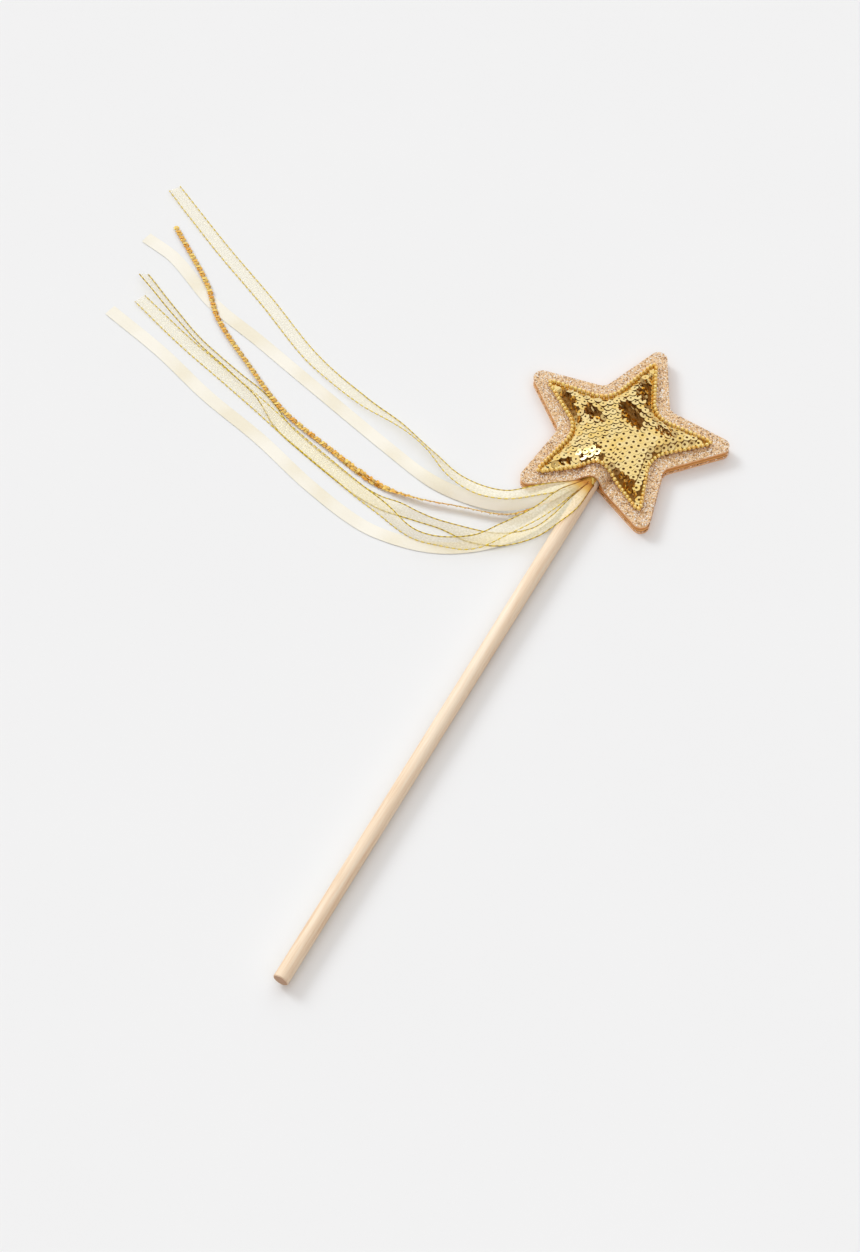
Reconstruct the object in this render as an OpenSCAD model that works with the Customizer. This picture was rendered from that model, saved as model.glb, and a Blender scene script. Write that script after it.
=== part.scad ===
// Toy magic wand: a wooden stick, a padded five-point star with a sequin patch, and six streamers.
// Millimetres. The stick runs along +Y from the centre of its butt at the origin.
// The wand lies face up: the star's sequins face +Z and the streamers lie out to -X.

/* [Stick] */
// Diameter of the stick
stick_diameter = 7; // [5:0.1:9]
// Length of the stick from its butt to the crotch of the star
stick_free_length = 277.5; // [200:0.5:350]
// Length of the stick that is pushed into the star
stick_insertion = 27.5; // [18:0.5:40]
// Chamfer on the stick's two ends
stick_chamfer = 0.4; // [0.2:0.1:1]
// Gap between the stick and what it lies in
stick_clearance = 0.1; // [0.05:0.05:0.4]

/* [Star] */
// Radius from the star's centre to its rounded tips
star_tip_radius = 50; // [46:0.5:65]
// Radius from the star's centre to its valleys
star_valley_radius = 27.7; // [25:0.1:34]
// Rounding of the star's tips
star_tip_rounding = 4; // [2:0.5:6]
// Rounding of the star's valleys
star_valley_rounding = 5; // [2:0.5:10]
// How far the star is turned on the stick, in degrees
star_turn = 3.5; // [0:0.5:6]
// How far the star's centre lies off the stick's axis
star_shift = -1; // [-2:0.5:2]
// Thickness of the glitter sheet on the back
back_sheet_thickness = 1; // [0.6:0.1:2]
// Thickness of the foam core at the rim
core_thickness = 3.5; // [2.5:0.1:5]
// How far the foam core stands back from the sheets' edges
core_inset = 0.5; // [0.2:0.1:1.5]
// Thickness of the glitter sheet on the front
front_sheet_thickness = 1; // [0.6:0.1:2]

/* [Mouth] */
// Room over the stick for the ribbon ends, under the arched front sheet
mouth_room = 0.8; // [0.4:0.1:2]
// Half the width of the arch where it springs from the flat front sheet
arch_half_width = 7; // [6.5:0.1:9]
// Depth to which the ribbon ends are glued into the mouth
bundle_depth = 6; // [4:0.5:7]
// How far the glued ribbon ends show in front of the crotch
bundle_show = 3.5; // [2:0.5:6]
// Gap between the ribbon ends and the arch
bundle_clearance = 0.15; // [0.05:0.05:0.4]

/* [Sequin patch] */
// Radius from the star's centre to the tips of the bead row
patch_tip_radius = 41.3; // [36:0.1:44]
// Radius from the star's centre to the valleys of the bead row
patch_valley_radius = 20.8; // [17:0.1:23.5]
// Rounding of the patch's valleys
patch_valley_rounding = 12; // [6:0.5:16]
// Height of the padded crown over the front sheet
patch_crown = 3.2; // [2:0.1:6]
// Distance from the seam at which the crown is steepest
patch_shoulder = 3.2; // [2.5:0.1:5]
// Thickness of the sequin cloth
cloth_thickness = 0.4; // [0.2:0.1:1]
// Gap between the pad and the cloth over it
pad_clearance = 0.1; // [0.05:0.05:0.4]
// How far the cloth lies over the arch of the mouth
ridge_lift = 0.8; // [0.5:0.1:2]

/* [Sequins] */
// Diameter of a sequin
sequin_diameter = 3.1; // [2.5:0.1:5]
// Diameter of the hole in a sequin
sequin_hole = 0.8; // [0.5:0.1:1.2]
// Thickness of a sequin
sequin_thickness = 0.12; // [0.08:0.02:0.2]
// Gap between neighbours in one row
sequin_gap = 0.1; // [0.04:0.02:0.4]
// Depth to which a row lies over the next one
sequin_overlap = 0.5; // [0:0.1:0.9]
// Tilt of each sequin, like a roof tile, in degrees
sequin_tilt = 7; // [5:0.5:10]
// Turn of the rows on the star, in degrees
sequin_row_turn = 38; // [0:1:72]
// Gap between a sequin's low edge and the cloth
sequin_lift = 0.4; // [0.1:0.05:0.6]
// Gap between the sequins and the bead row
sequin_bead_gap = 0.25; // [0.1:0.05:1]

/* [Beads] */
// Diameter of a bead
bead_diameter = 1.9; // [1.4:0.1:2.2]
// Bore of a bead
bead_bore = 0.7; // [0.5:0.1:0.9]
// Least gap between neighbouring beads
bead_gap = 0.12; // [0.1:0.02:0.5]
// Gap between the beads and the cloth that they lie on
bead_lift = 0.2; // [0.05:0.05:0.4]
// Diameter of the thread that the beads are strung on
bead_thread_diameter = 0.3; // [0.2:0.1:0.4]

/* [Streamers] */
// Width of the organza and satin ribbons
ribbon_width = 6; // [4:0.5:7]
// Thickness of the ribbons
ribbon_thickness = 0.2; // [0.1:0.05:0.3]
// Width of the sequin strand
strand_width = 3; // [2:0.5:4]
// Thickness of the sequin strand
strand_thickness = 0.8; // [0.4:0.1:1]
// Width to which the ribbons are gathered in the mouth
gathered_width = 1.5; // [1:0.5:2]

/* [Hidden] */

$fn = 48;
points_of_star = 5;
point_step = 360 / points_of_star;

// Heights, counted from the stick's axis
stick_radius = stick_diameter / 2;
stick_total = stick_free_length + stick_insertion;
slot_half_width = stick_radius + stick_clearance;
back_top = -stick_radius - stick_clearance;
back_bottom = back_top - back_sheet_thickness;
core_top = back_top + core_thickness;
front_top = core_top + front_sheet_thickness;

// The star's place on the stick
star_y = stick_free_length + star_valley_radius;

// The arch of the front sheet over the stick: a tube through the apex and both springing lines
arch_apex = stick_radius + mouth_room + front_sheet_thickness;
arch_rise = arch_apex - front_top;
arch_radius = (arch_half_width ^ 2 + arch_rise ^ 2) / (2 * arch_rise);
arch_axis = arch_apex - arch_radius;
mouth_overrun = 12;

// The cloth's ridge over the arch, which dies out before the stick's end
ridge_height = arch_rise + ridge_lift;
ridge_share = 0.94;
ridge_spread = ridge_share * arch_half_width;
ridge_stop = 11;
ridge_end = stick_total - ridge_stop;
ridge_fade = 3;

// The outlines: arc steps, and the patch's tips, which are just wide enough for a bead to turn
tip_steps = 10;
valley_steps = 8;
bead_radius = bead_diameter / 2;
patch_tip_slack = 0.25;
patch_tip_rounding = bead_radius + patch_tip_slack;
window_scale = 0.92;
pad_scale = 0.9;

// The cushion's rings, as shares of the patch's outline from its middle to the pad's edge
pad_rings = [0.22, 0.42, 0.58, 0.7, 0.8, pad_scale];
seam_ring = 1;
cushion_points = 75;

// The sequins' grid
sequin_radius = sequin_diameter / 2;
sequin_pitch = sequin_diameter + sequin_gap;
sequin_row_pitch = sequin_diameter - sequin_overlap;
sequin_margin = sequin_radius + bead_radius + sequin_bead_gap;
sequin_height = sequin_radius * sin(sequin_tilt) + sequin_lift;

// Routes of the streamers from the mouth outwards: x, y, z and roll in degrees
organza_upper_route = [
    [-3.6, 274.5, 2.5, 25], [-10, 268, 2.6, 10], [-19, 261, 1.8, 15], [-30, 253, 0.9, 15], [-43, 250, 0, 15],
    [-57, 252, -0.6, 30], [-72, 259, -1.6, 55], [-91, 265, -2.3, 45], [-112, 269, -3.3, 20],
    [-144, 279, -4.2, 5], [-179, 297, -4.3, 0], [-212, 313, -4.3, 0], [-250, 333, -3.9, 10]
];
satin_upper_route = [
    [-4.3, 274.5, 1.65, 10], [-10, 266, 1.8, 0], [-18, 258, 0.6, -10], [-30, 251, -1.2, -15],
    [-44, 248, -2.6, -10], [-62, 247, -3.6, 0], [-81, 250, -4.3, 0], [-137, 266, -4.3, 0],
    [-171, 276, -4.3, 0], [-200, 284, -4.3, 0], [-229, 298, -4.3, 0], [-247, 302, -4.2, 0]
];
strand_route = [
    [-4.4, 274.5, 0.95, 0], [-10, 263, 0.4, 0], [-17, 254, -1.4, 0], [-27, 245, -3, 0], [-47, 239, -3.9, 0],
    [-66, 234, -3.9, 0], [-87, 233, -3.9, 0], [-112, 239, -3.9, 0], [-141, 247, -3.9, 0],
    [-167, 261, -3.8, 0], [-193, 277, -3.4, 0], [-208, 292, -3.2, 0], [-237, 313, -3.8, 0]
];
organza_middle_route = [
    [1, 274.5, 3.75, -9], [-1, 262, 4, 5], [-4, 252, 3.3, 20], [-10, 241, 1, 15], [-22, 232, -1.4, -10],
    [-34, 228, -1.9, -35], [-49, 226, -1.5, -85], [-60, 225, -1.5, -75], [-70, 225, -2.5, -40],
    [-80, 225, -4, -8], [-94, 227, -4.4, 0], [-130, 237, -4.4, 0], [-140, 241, -4.1, -6],
    [-147, 245.5, -3, -30], [-155, 249.5, -1.8, -65], [-170, 254, -1.5, -85], [-197, 263, -1.5, -88],
    [-236, 282, -1.5, -85]
];
organza_lower_route = [
    [-1.4, 274.5, 3.65, 12], [-7, 264, 3.9, -5], [-13, 250, 2.9, -5], [-22, 236, 1.9, -10],
    [-31, 224, 0.9, -30], [-45, 218, -0.9, -80], [-58, 216, -1, -75], [-77, 222, -2.6, -35],
    [-90, 225.5, -3.2, -12], [-133, 238, -3.5, -8], [-146, 242, -2.9, -25], [-158, 246, -3.2, -18],
    [-172, 250.5, -4, -4], [-200, 259, -4.2, 0], [-231, 270, -3.8, 8]
];
satin_lower_route = [
    [-4.5, 274.5, 0.3, 0], [-8, 264, -0.7, 0], [-10, 253, -2, 5], [-17, 240, -3.3, 5], [-29, 227, -4.2, 0],
    [-44, 217, -4.4, 0], [-61, 212, -4.4, 0], [-81, 211, -4.4, 0], [-111, 218, -4.4, 0],
    [-143, 229, -4.4, 0], [-176, 238, -4.4, 0], [-207, 249, -4.4, 0], [-240, 258, -4.3, 0]
];

// Colours
wood = [0.92, 0.82, 0.69];
glitter = [0.86, 0.74, 0.58];
foam = [0.84, 0.58, 0.31];
wadding = [0.94, 0.92, 0.86];
gold_cloth = [0.76, 0.58, 0.24];
gold_foil = [0.97, 0.83, 0.45];
gold_bead = [0.93, 0.72, 0.27];
cotton = [0.95, 0.93, 0.88];
organza = [0.91, 0.86, 0.72];
satin = [0.97, 0.94, 0.85];
strand_gold = [0.88, 0.66, 0.2];

// Plane geometry
function sum_of(values) = values * [for (v = values) 1];
function unit(a) = [cos(a), sin(a)];
function turned(p, a) = [p.x * cos(a) - p.y * sin(a), p.x * sin(a) + p.y * cos(a)];
function star_to_wand(p) = [star_shift, star_y] + turned(p, star_turn);
function on_star(p, z) = let (w = star_to_wand(p)) [w.x, w.y, z];

// A star's outline, anticlockwise from a tip: round tips and valleys joined by their common tangents
function star_outline(tip, valley, tip_rounding, valley_rounding) = let (
    tip_centre = [tip - tip_rounding, 0],
    valley_centre = (valley + valley_rounding) * unit(point_step / 2),
    across = valley_centre - tip_centre,
    side_normal = atan2(across.y, across.x) - acos((tip_rounding + valley_rounding) / norm(across)),
    tip_arc = [
        for (k = [0:tip_steps]) tip_centre + tip_rounding * unit(side_normal * (2 * k / tip_steps - 1))
    ],
    valley_arc = [
        for (k = [0:valley_steps])
            valley_centre
            + valley_rounding * unit(side_normal + 180 - (2 * side_normal - point_step) * k / valley_steps)
    ]
) [for (i = [0:points_of_star - 1]) for (p = concat(tip_arc, valley_arc)) turned(p, 90 + point_step * i)];

// Length along a closed outline up to each of its points
function lengths_along(outline) = [
    for (i = 0, total = 0; i <= len(outline);
        total = total + norm(outline[(i + 1) % len(outline)] - outline[i % len(outline)]), i = i + 1) total
];

// The point at a given length along a closed outline
function point_along(outline, lengths, target) = let (
    wanted = target % lengths[len(outline)],
    i = len([for (l = lengths) if (l <= wanted) l]) - 1,
    share = (wanted - lengths[i]) / (lengths[i + 1] - lengths[i])
) outline[i] * (1 - share) + outline[(i + 1) % len(outline)] * share;

// Evenly spaced points on a closed outline, the first one at the apex of the first tip
function spaced_points(outline, count) = let (
    lengths = lengths_along(outline),
    step = lengths[len(outline)] / count,
    start = lengths[tip_steps / 2]
) [for (i = [0:count - 1]) point_along(outline, lengths, start + i * step)];

function segment_distance(p, a, b) = let (
    share = min(1, max(0, (p - a) * (b - a) / ((b - a) * (b - a))))
) norm(p - a - share * (b - a));

function edge_distance(p) = min([
    for (i = [0:len(patch_outline) - 1])
        segment_distance(p, patch_outline[i], patch_outline[(i + 1) % len(patch_outline)])
]);

function inside_patch(p) = len([
    for (i = [0:len(patch_outline) - 1])
        let (a = patch_outline[i], b = patch_outline[(i + 1) % len(patch_outline)])
        if ((a.y > p.y) != (b.y > p.y) && p.x < a.x + (b.x - a.x) * (p.y - a.y) / (b.y - a.y)) 1
]) % 2 == 1;

// The outlines in use
star_edge = star_outline(star_tip_radius, star_valley_radius, star_tip_rounding, star_valley_rounding);
core_edge = star_outline(
    star_tip_radius - core_inset, star_valley_radius - core_inset,
    star_tip_rounding - core_inset, star_valley_rounding + core_inset
);
patch_outline = star_outline(
    patch_tip_radius, patch_valley_radius, patch_tip_rounding, patch_valley_rounding
);
patch_length = lengths_along(patch_outline)[len(patch_outline)];

// The rise of the sequin cloth over the flat front sheet: a padded crown, and a ridge over the stick.
// The crown is held down by every point of the seam, so it is round over each arm and flat at the tips.
seam_points = spaced_points(patch_outline, cushion_points);
seam_pull = patch_length / cushion_points / (patch_shoulder * sqrt(2 * PI));
function crown_rise(p) = patch_crown * max(0, 1 - seam_pull * sum_of([
    for (q = seam_points) exp(-((p - q) * (p - q)) / (2 * patch_shoulder ^ 2))
]));
function ridge_rise(p) = let (w = star_to_wand(p))
    ridge_height * exp(-(w.x / ridge_spread) ^ 2) / (1 + exp((w.y - ridge_end) / ridge_fade));
function cloth_rise(p) = norm([crown_rise(p), ridge_rise(p)]);

// A closed skin of triangles over a row of rings with equal counts, capped by fans to two end points.
// other_way(i, j) picks the quads that are split along their second diagonal, so that the two faces of
// a thin piece are split alike.
module skin(rings, first_point, last_point, other_way) {
    count = len(rings[0]);
    last = len(rings) * count + 1;
    faces = concat(
        [for (j = [0:count - 1]) [0, 1 + j, 1 + (j + 1) % count]],
        [
            for (i = [0:len(rings) - 2]) for (j = [0:count - 1])
                let (a = 1 + i * count + j, b = 1 + i * count + (j + 1) % count)
                each other_way(i, j)
                    ? [[a, a + count, b + count], [a, b + count, b]]
                    : [[a, a + count, b], [b, a + count, b + count]]
        ],
        [for (j = [0:count - 1]) [last, last - count + (j + 1) % count, last - count + j]]
    );
    polyhedron([first_point, for (ring = rings) each ring, last_point], faces);
}

// One ring of the patch's cushion at a share of the outline, its height given over the front sheet
function cushion_ring(share, offset) = [
    for (p = seam_points * share) on_star(p, front_top + offset + cloth_rise(p))
];
cushion_middle = [0, 0];
function cushion_top(offset) = on_star(cushion_middle, front_top + offset + cloth_rise(cushion_middle));

// A flat strip along a route, gathered at its first point
module strip(route, width, thickness, first_width) {
    last = len(route) - 1;
    rings = [
        for (i = [0:last]) let (
            along = route[min(i + 1, last)] - route[max(i - 1, 0)],
            heading = atan2(along.y, along.x),
            side = [-sin(heading) * cos(route[i][3]), cos(heading) * cos(route[i][3]), sin(route[i][3])],
            face = [sin(heading) * sin(route[i][3]), -cos(heading) * sin(route[i][3]), cos(route[i][3])],
            half = (i == 0 ? first_width : width) / 2 * side,
            rise = thickness / 2 * face,
            centre = [route[i].x, route[i].y, route[i].z]
        ) [centre + half + rise, centre - half + rise, centre - half - rise, centre + half - rise]
    ];
    skin(
        rings, (rings[0][0] + rings[0][2]) / 2, (rings[last][0] + rings[last][2]) / 2,
        function (i, j) j >= 2
    );
}

module on_wand() {
    translate([star_shift, star_y, 0]) rotate(star_turn) children();
}

// A round bar along the stick's axis
module along_stick(radius, from, to, height = 0) {
    translate([0, from, height]) rotate([-90, 0, 0]) cylinder(r = radius, h = to - from);
}

module stick() {
    color(wood) rotate([-90, 0, 0]) rotate_extrude() polygon([
        [0, 0], [stick_radius - stick_chamfer, 0], [stick_radius, stick_chamfer],
        [stick_radius, stick_total - stick_chamfer], [stick_radius - stick_chamfer, stick_total],
        [0, stick_total]
    ]);
}

module star_back_sheet() {
    color(glitter) on_wand() translate([0, 0, back_bottom])
        linear_extrude(back_sheet_thickness) polygon(star_edge);
}

// The foam core, with a slot that holds the stick
module star_core() {
    slot_start = stick_free_length - mouth_overrun;
    color(foam) difference() {
        on_wand() translate([0, 0, back_top]) linear_extrude(core_thickness) polygon(core_edge);
        translate([-slot_half_width, slot_start, back_top - 1])
            cube([2 * slot_half_width, stick_total + stick_clearance - slot_start, core_thickness + 2]);
    }
}

// The front sheet: a star-shaped frame that arches over the stick at the crotch
module star_front_sheet() {
    mouth_start = stick_free_length - mouth_overrun;
    color(glitter) difference() {
        union() {
            on_wand() translate([0, 0, core_top]) linear_extrude(front_sheet_thickness) front_frame();
            intersection() {
                along_stick(arch_radius, mouth_start, star_y, arch_axis);
                on_wand() translate([0, 0, core_top]) linear_extrude(arch_apex - core_top + 1) front_frame();
            }
        }
        along_stick(arch_radius - front_sheet_thickness, mouth_start - 1, star_y, arch_axis);
    }
}

module front_frame() {
    difference() {
        polygon(star_edge);
        scale(window_scale) polygon(patch_outline);
    }
}

// The wadding under the sequin cloth, laid over the stick's end
module sequin_pad() {
    base = [for (p = seam_points * pad_scale) on_star(p, core_top)];
    offset = -pad_clearance;
    rings = [base, for (k = [len(pad_rings) - 1:-1:0]) cushion_ring(pad_rings[k], offset)];
    color(wadding) difference() {
        skin(rings, on_star(cushion_middle, core_top), cushion_top(offset), function (i, j) true);
        along_stick(slot_half_width, stick_free_length, stick_total + stick_clearance);
    }
}

// The cloth that carries the sequins, sewn to the front sheet along the bead row
module sequin_cloth() {
    shares = concat(pad_rings, [seam_ring]);
    rings = [
        for (k = [0:len(shares) - 1]) cushion_ring(shares[k], 0),
        for (k = [len(shares) - 1:-1:0]) cushion_ring(shares[k], cloth_thickness)
    ];
    color(gold_cloth)
        skin(rings, cushion_top(0), cushion_top(cloth_thickness), function (i, j) i >= len(shares));
}

module sequin() {
    difference() {
        cylinder(d = sequin_diameter, h = sequin_thickness, center = true);
        cylinder(d = sequin_hole, h = 1, center = true);
    }
}

// Rows of sequins over the crown, each row tilted over the next like roof tiles.
// A sequin rests on its middle where the cloth is round, and on its rim where the cloth is hollow.
module sequins() {
    rows = ceil(patch_tip_radius / sequin_row_pitch);
    columns = ceil(patch_tip_radius / sequin_pitch);
    row_direction = unit(sequin_row_turn);
    row_normal = [-row_direction.y, row_direction.x];
    compass = sequin_radius * [[1, 0], [-1, 0], [0, 1], [0, -1]];
    color(gold_foil) on_wand() for (j = [-rows:rows]) for (i = [-columns:columns]) {
        stagger = abs(j % 2) / 2;
        p = (i + stagger) * sequin_pitch * row_direction + j * sequin_row_pitch * row_normal;
        if (inside_patch(p) && edge_distance(p) >= sequin_margin) {
            rim = [for (d = compass) cloth_rise(p + d)];
            fall = [rim[1] - rim[0], rim[3] - rim[2], sequin_diameter];
            normal = fall / norm(fall);
            seat = max(cloth_rise(p), sum_of(rim) / len(rim));
            base = [p.x, p.y, front_top + cloth_thickness + seat];
            translate(base + sequin_height * normal)
                rotate(a = acos(normal.z), v = [-normal.y, normal.x, 0])
                rotate(a = -sequin_tilt, v = [row_direction.x, row_direction.y, 0])
                sequin();
        }
    }
}

// The beads stand on the edge of the cloth, evenly spaced, with one on each tip
beads_per_point = floor(patch_length / points_of_star / (bead_diameter + bead_gap));
bead_places = [
    for (p = spaced_points(patch_outline, beads_per_point * points_of_star))
        on_star(p, front_top + cloth_thickness + cloth_rise(p) + bead_lift + bead_radius)
];

// The direction of the row at each bead
bead_directions = [
    for (i = [0:len(bead_places) - 1]) let (
        count = len(bead_places),
        along = bead_places[(i + 1) % count] - bead_places[(i + count - 1) % count]
    ) along / norm(along)
];

module seed_beads() {
    color(gold_bead) for (i = [0:len(bead_places) - 1]) {
        along = bead_directions[i];
        translate(bead_places[i])
            rotate(a = acos(along.z), v = [-along.y, along.x, 0])
            difference() {
                sphere(d = bead_diameter);
                cylinder(d = bead_bore, h = 2 * bead_diameter, center = true);
            }
    }
}

// One closed thread through the bores of all the beads, which bends only between them
module bead_thread() {
    sides = 5;
    rings = [
        for (i = [0:len(bead_places) - 1]) let (
            along = bead_directions[i],
            side = cross(along, [0, 0, 1]) / norm(cross(along, [0, 0, 1])),
            up = cross(side, along)
        ) for (exit = [-bead_radius, bead_radius]) [
            for (k = [0:sides - 1]) bead_places[i] + exit * along
                + bead_thread_diameter / 2 * (cos(360 * k / sides) * side + sin(360 * k / sides) * up)
        ]
    ];
    count = len(rings);
    faces = [
        for (i = [0:count - 1]) for (k = [0:sides - 1]) let (
            next = (i + 1) % count,
            a = i * sides + k,
            b = i * sides + (k + 1) % sides,
            c = next * sides + k,
            d = next * sides + (k + 1) % sides
        ) each [[a, b, c], [b, d, c]]
    ];
    color(cotton) polyhedron([for (ring = rings) each ring], faces);
}

// The gathered ribbon ends, glued over the stick in the mouth of the star
module ribbon_bundle() {
    bundle_right = 2.6;
    bundle_left = -6;
    color(organza) translate([0, stick_free_length + bundle_depth, 0]) rotate([90, 0, 0])
        linear_extrude(bundle_depth + bundle_show) intersection() {
            difference() {
                translate([0, arch_axis]) circle(arch_radius - front_sheet_thickness - bundle_clearance);
                circle(stick_radius + stick_clearance);
            }
            translate([bundle_left, core_top + bundle_clearance])
                square([bundle_right - bundle_left, arch_apex - core_top]);
        }
}

module organza_ribbon_upper() {
    color(organza) strip(organza_upper_route, ribbon_width, ribbon_thickness, gathered_width);
}

module satin_ribbon_upper() {
    color(satin) strip(satin_upper_route, ribbon_width, ribbon_thickness, gathered_width);
}

module sequin_strand() {
    color(strand_gold) strip(strand_route, strand_width, strand_thickness, gathered_width);
}

module organza_ribbon_middle() {
    color(organza) strip(organza_middle_route, ribbon_width, ribbon_thickness, gathered_width);
}

module organza_ribbon_lower() {
    color(organza) strip(organza_lower_route, ribbon_width, ribbon_thickness, gathered_width);
}

module satin_ribbon_lower() {
    color(satin) strip(satin_lower_route, ribbon_width, ribbon_thickness, gathered_width);
}

stick();
star_back_sheet();
star_core();
star_front_sheet();
sequin_pad();
sequin_cloth();
sequins();
seed_beads();
bead_thread();
ribbon_bundle();
organza_ribbon_upper();
satin_ribbon_upper();
sequin_strand();
organza_ribbon_middle();
organza_ribbon_lower();
satin_ribbon_lower();
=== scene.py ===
import math
import random

import bmesh
import bpy
from mathutils import Matrix, Vector


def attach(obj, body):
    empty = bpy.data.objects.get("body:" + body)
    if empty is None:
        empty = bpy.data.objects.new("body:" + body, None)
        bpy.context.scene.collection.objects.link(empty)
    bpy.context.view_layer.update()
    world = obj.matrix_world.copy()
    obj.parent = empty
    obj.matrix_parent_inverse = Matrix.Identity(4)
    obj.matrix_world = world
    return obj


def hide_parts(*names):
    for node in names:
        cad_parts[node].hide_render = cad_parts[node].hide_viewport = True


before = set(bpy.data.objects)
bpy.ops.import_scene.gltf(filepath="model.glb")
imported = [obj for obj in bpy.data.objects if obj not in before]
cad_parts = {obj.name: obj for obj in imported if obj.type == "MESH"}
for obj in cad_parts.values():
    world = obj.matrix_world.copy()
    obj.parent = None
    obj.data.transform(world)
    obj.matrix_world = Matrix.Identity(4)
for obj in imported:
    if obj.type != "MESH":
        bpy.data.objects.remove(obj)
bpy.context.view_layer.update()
scene = bpy.context.scene
scene.view_settings.view_transform = "Standard"

MM = 0.001
chance = random.Random(11)

TABLE_Z = -4.6 * MM
UP = Vector((0, 0, 1))

# The star, in millimetres: its place on the wand and the height of its front sheet
STAR_PLACE = Vector((-1, 305.2))
STAR_TURN = math.radians(3.5)
STAR_POINTS = 5
FRONT_TOP = 0.9

# The sequin patch, in millimetres
PATCH_TIP = 41.3
PATCH_VALLEY = 20.8
PATCH_TIP_ROUNDING = 1.2
PATCH_VALLEY_ROUNDING = 12
PATCH_CROWN = 3.2
PATCH_SHOULDER = 2.1
SEAM_POINTS = 75
RIDGE_HEIGHT = 5.2
RIDGE_SPREAD = 6.58
RIDGE_END = 294
RIDGE_FADE = 3
CLOTH_THICKNESS = 0.4
PATCH_BASE_GAP = 0.02
PATCH_RIM_POINTS = 240
# Rings of the skin as shares of the outline, from the middle out over the crown and then back underneath
CROWN_RINGS = [
    0.015, 0.06, 0.12, 0.18, 0.24, 0.3, 0.36, 0.42, 0.48, 0.54, 0.6, 0.66, 0.72, 0.78, 0.84, 0.89, 0.93, 0.96,
    0.98, 1,
]
BASE_RINGS = [1, 0.9, 0.015]

# Sequins, in millimetres
SEQUIN_DIAMETER = 3.6
SEQUIN_HOLE = 0.9
SEQUIN_FLUSH_HOLE = 1.25
SEQUIN_CUP = 0.02
SEQUIN_SEGMENTS = 14
SEQUIN_PITCH = 3.2
SEQUIN_ROW_PITCH = 2.6
SEQUIN_ROW_TURN = math.radians(38)
SEQUIN_TILT = math.radians(6)
SEQUIN_LIFT = 0.6
SEQUIN_MARGIN = 2.2
SEQUIN_FLUSH_MARGIN = 1.3
SEQUIN_HEM_MARGIN = 1.9
HEM_FLATTENING = 1.4

# Where the sequins turn from standing to flush: across the diagonal of the star, and from its left side
FLUSH_DIAGONAL = (-1, 4)
FLUSH_LEFT = (-10, -4)
FLUSH_LIMIT = 0.5
HEM_FLUSH_LIMIT = 0.3

# How a sequin follows the cloth, and by how much less where it lies flush
SLOPE_SHARE = 0.9
FLUSH_SLOPE_LOSS = 0.15
FLUSH_RIGHT_LOSS = 0.9
FLUSH_TILT_LOSS = 0.85
SEQUIN_LOOSE_DEGREES = 2.2
FLUSH_LOOSE_LOSS_DEGREES = 1.7

# Puckers of the padded cloth, where the sequins stand up on their edges: middle, half length, half width,
# direction in degrees, and 1 or -1 for the way that the sequins lean along their rows
PUCKERS = [
    (-26.5, 4, 11, 3.4, -42, -1), (-15, 5, 7, 3, -19, 1), (2.6, 25, 6.5, 3, -59, 1),
    (2.8, 10.5, 9, 4.2, -35, 1), (19, 8.5, 5.5, 2.1, -11, 1), (15.6, -25.7, 7.5, 2.4, -32, -1),
    (-14.6, -25.2, 3.8, 2.4, 0, 1), (-2.9, -15.5, 6, 1.5, -49, 1),
]
PUCKER_LEAN = (math.radians(26), math.radians(64))
PUCKER_LOOSE = math.radians(6)
PUCKER_LIFT_SHARE = 0.2
# A small flat place beside the stick that faces the brightest lamp: middle, half sizes and direction
BRIGHT_PLACE = (-7.6, -17.5, 4.4, 2.2, 38)
BRIGHT_SLOPE = (-0.326, -0.136)
BRIGHT_TILT = math.radians(1.5)
BRIGHT_LIFT = 0.3
BRIGHT_LEAST_LIFT = 0.25

# Ribbons and the sequin strand, in millimetres
RIBBON_WIDTH = 6
RIBBON_STEP = 1.6
RIBBON_COLUMNS = 8
RIBBON_CAMBER = 0.25
RIPPLE_SHORT = 5.5
RIPPLE_LONG = 17
RIPPLE_SKEW = 2.5
RIPPLE_MIDDLE_SHARE = 0.3
RIPPLE_PHASES = 6.28
GATHERED_SHARE = 0.5
GATHER_LENGTH = 16
EDGE_THREAD_RADIUS = 0.27
EDGE_THREAD_SIDES = 6
EDGE_THREAD_STAND = 1.2
STRAND_WIDTH = 3
STRAND_STEP = 1.9
STRAND_STAND = 1.15
STRAND_DISC_SHARE = 0.9
STRAND_DISC_HOLE_RADIUS = 0.25
STRAND_DISC_CUP = 0.32
STRAND_DISC_SEGMENTS = 12
STRAND_DISC_LIFT = 0.1
STRAND_THREAD_RADIUS = 0.25
STRAND_THREAD_SIDES = 5
# The slopes at which discs of the strand lean by turns, and how far each strays to the sides and lengthwise
STRAND_LEANS = (-0.05, 0.5)
STRAND_STRAY = 0.12
STRAND_STRAY_LENGTHWISE = 0.6
# The strand's loose place: where it is along the strand, its reach, and how much its discs stray and grow
LOOSE_AT = 104
LOOSE_REACH = 11
LOOSE_STRAY = 0.4
LOOSE_GROWTH = 0.25

# Gathered ends in the mouth of the star, in millimetres, between the glued stick and the arch over it
MOUTH_START = 273.5
MOUTH_ROWS = 9
MOUTH_ROW_STEP = 1.15
MOUTH_LEFT = -5.4
MOUTH_WIDTH = 7.6
MOUTH_FOLDS = 26
FOLD_CLOTH = 0.8
FOLD_FILL = 0.42
FOLD_SWAY = 0.4
FOLD_SWAY_TURN = 1.7
FOLD_LEAST_HEIGHT = 0.25
FOLD_REST_HEIGHT = 0.3
GLUE_RADIUS = 3.75
ARCH_RADIUS = 7.77
ARCH_CROWN = 4
FOIL_END_START = Vector((2, 274, 3.95))
FOIL_END_STEP = Vector((-0.33, 0.62, 0.24))
FOIL_END_STEPS = 5
FOIL_END_RADIUS = 0.6
FOIL_END_SIDES = 6

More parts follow.
